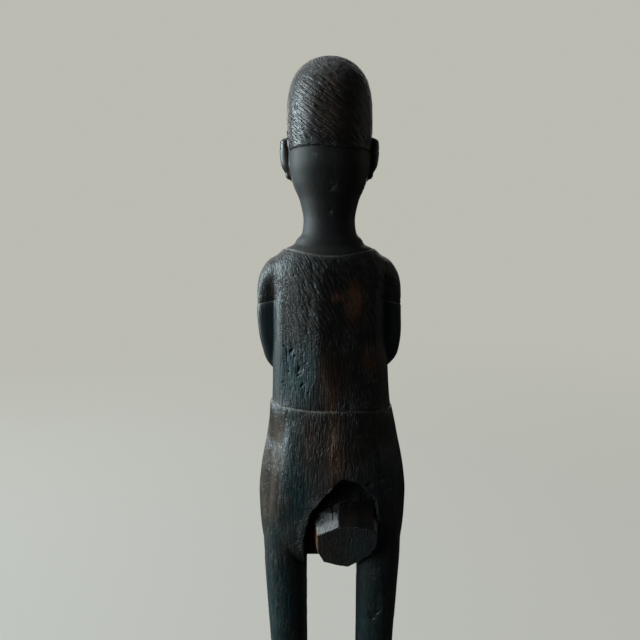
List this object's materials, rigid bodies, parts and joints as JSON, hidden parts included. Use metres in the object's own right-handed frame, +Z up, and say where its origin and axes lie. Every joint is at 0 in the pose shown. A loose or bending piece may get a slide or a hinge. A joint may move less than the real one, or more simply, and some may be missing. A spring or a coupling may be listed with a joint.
{
  "type": "carved drummer figure",
  "caption": "Slim standing man in short-sleeved shirt and trousers, hands on a slanting drum between his thighs, carved in one piece with a low oval base.",
  "frame": {"origin": "on the underside of the base, midway between the feet", "axes": "+Z up along the figure's height, -Y the way he faces, +X towards his left hand"},
  "size_m": [0.068, 0.0704, 0.338],
  "materials": {
    "ebony": "hand-cut dark heartwood, rubbed to a soft gloss"
  },
  "bodies": {
    "root": {"drummer_figure": "ebony"}
  },
  "joints": []
}
